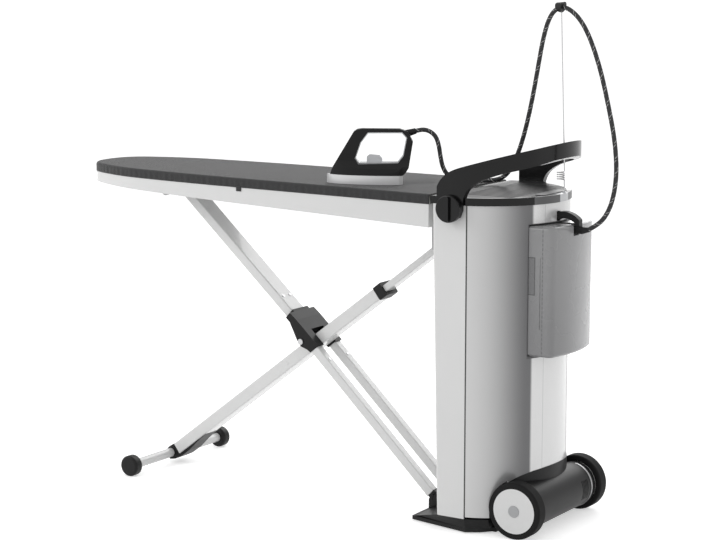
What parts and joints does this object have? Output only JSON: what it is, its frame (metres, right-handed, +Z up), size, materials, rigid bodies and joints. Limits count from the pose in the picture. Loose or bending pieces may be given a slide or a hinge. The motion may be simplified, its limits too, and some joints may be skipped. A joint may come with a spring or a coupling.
{
  "type": "steam ironing system",
  "caption": "Free-standing ironing board on folding crossed legs, hinged to a wheeled steam tower with a hoop handle, water tank, corded iron and hose on a spring wire.",
  "frame": {"origin": "on the floor, midway across the tower's base, under the axis of the two side knobs", "axes": "+X along the board from its nose to the tower's rear, +Y to the side away from the camera, +Z up"},
  "size_m": [1.606, 0.482, 1.3204],
  "materials": {
    "white_enamel": "gloss",
    "silver_enamel": "satin",
    "white_gloss": "gloss",
    "black_gloss": "gloss",
    "black_matte": "matte",
    "grey_gloss": "gloss",
    "smoke": "satin",
    "cloth": "matte",
    "felt": "matte",
    "steel": "satin",
    "frame_steel": "satin",
    "tyre": "matte",
    "hose": "matte",
    "pipe": "matte",
    "sole": "satin",
    "brass": "satin",
    "circuit": "matte",
    "clear_grey": "gloss"
  },
  "bodies": {
    "tower": {"front_column": "white_enamel", "rear_casing": "silver_enamel", "rear_panel": "silver_enamel", "tank_pocket": "black_matte", "wheel_housing": "black_matte", "housing_ring": "steel", "wheel_axle": "steel", "tower_base": "black_matte", "top_rim": "black_gloss", "rim_rear_panel": "grey_gloss", "wire_socket": "grey_gloss", "top_plate": "black_matte", "hoop_handle": "black_gloss", "hose_arm": "grey_gloss", "hose_boot": "black_matte", "support_wire": "steel", "hose_clip": "black_matte", "hose_rear": "hose", "inner_chassis": "frame_steel", "boiler": "steel", "heating_element": "steel", "steam_valve": "brass", "pump": "black_matte", "control_board": "circuit", "inner_pipes": "pipe", "power_inlet": "black_matte"},
    "carriage": {"board_carriage": "frame_steel"},
    "board": {"board_cover": "cloth", "board_pad": "felt", "board_skirt": "white_gloss", "board_frame": "frame_steel"},
    "leg_a": {"leg_a_lower_tubes": "white_enamel", "leg_a_upper_tube": "white_enamel", "leg_a_tip_pin": "steel", "leg_knuckle": "black_matte", "leg_pivot_pin": "steel", "leg_a_foot_hinge": "black_matte", "leg_a_screws": "steel"},
    "leg_b": {"leg_b_outer_tube": "white_enamel", "leg_b_collar": "black_matte", "foot_bracket": "black_matte", "foot_bar": "white_enamel", "foot_caps": "black_matte"},
    "leg_b_inner": {"leg_b_inner_tube": "white_enamel"},
    "wheel_near": {"tyre_near": "tyre", "hub_near": "white_gloss", "hub_cap_near": "grey_gloss"},
    "wheel_far": {"tyre_far": "tyre", "hub_far": "white_gloss", "hub_cap_far": "grey_gloss"},
    "knob_near": {"lock_knob_near": "black_gloss"},
    "knob_far": {"lock_knob_far": "black_gloss"},
    "tank": {"water_tank": "smoke"},
    "cap": {"tank_cap": "clear_grey"},
    "iron": {"iron_soleplate": "sole", "iron_body": "black_gloss", "iron_grip_lining": "clear_grey", "iron_grommet": "hose", "hose_front": "hose"},
    "steam_key": {"iron_steam_key": "clear_grey"}
  },
  "joints": [
    {"name": "board_fold", "type": "hinge", "parent": "carriage", "child": "board", "pos_m": [-0.13, 0, 0.812], "axis": [0, 1, 0], "range_deg": [0, 90]},
    {"name": "carriage_slide", "type": "slide", "parent": "tower", "child": "carriage", "axis": [0, 0, -1], "range_m": [0, 0.4922]},
    {"name": "leg_a_fold", "type": "hinge", "parent": "board", "child": "leg_a", "pos_m": [-0.968, 0, 0.79], "axis": [0, -1, 0], "range_deg": [0, 42.9]},
    {"name": "leg_b_fold", "type": "hinge", "parent": "leg_a", "child": "leg_b", "pos_m": [-0.555, 0, 0.404], "axis": [0, 1, 0], "range_deg": [0, 75.1]},
    {"name": "leg_b_slide", "type": "slide", "parent": "leg_b", "child": "leg_b_inner", "axis": [-0.7976, 0, -0.6032], "range_m": [0, 0.1234]},
    {"name": "iron_park", "type": "slide", "parent": "tower", "child": "iron", "axis": [0.9999, 0, 0.0114], "range_m": [0, 0.3502], "deforming": ["hose_front"]},
    {"name": "steam_key_press", "type": "slide", "parent": "iron", "child": "steam_key", "axis": [-0.0061, 0, -1], "range_m": [0, 0.003], "stiffness_N_per_m": 400},
    {"name": "lock_near_turn", "type": "hinge", "parent": "tower", "child": "knob_near", "pos_m": [0, -0.227, 0.82], "axis": [0, -1, 0], "range_deg": [0, 90]},
    {"name": "lock_far_turn", "type": "hinge", "parent": "tower", "child": "knob_far", "pos_m": [0, 0.227, 0.82], "axis": [0, 1, 0], "range_deg": [0, 90]},
    {"name": "wheel_near_roll", "type": "hinge", "parent": "tower", "child": "wheel_near", "pos_m": [0.1697, -0.17, 0.072], "axis": [0, 1, 0], "continuous": true},
    {"name": "wheel_far_roll", "type": "hinge", "parent": "tower", "child": "wheel_far", "pos_m": [0.1697, 0.17, 0.072], "axis": [0, 1, 0], "continuous": true},
    {"name": "tank_pull", "type": "slide", "parent": "tower", "child": "tank", "axis": [1, 0, 0], "range_m": [0, 0.12]},
    {"name": "tank_cap_turn", "type": "hinge", "parent": "tank", "child": "cap", "pos_m": [0.165, 0.055, 0.774], "axis": [0, 0, 1], "range_deg": [0, 90]}
  ],
  "couplings": [
    {"joint": "carriage_slide", "follows": "board_fold", "m_per_rad": 0.31328},
    {"joint": "leg_a_fold", "follows": "board_fold", "ratio": 0.47656},
    {"joint": "leg_b_fold", "follows": "board_fold", "ratio": 0.83422},
    {"joint": "leg_b_slide", "follows": "board_fold", "m_per_rad": 0.078496},
    {"joint": "iron_park", "follows": "board_fold", "m_per_rad": 0.2228}
  ]
}
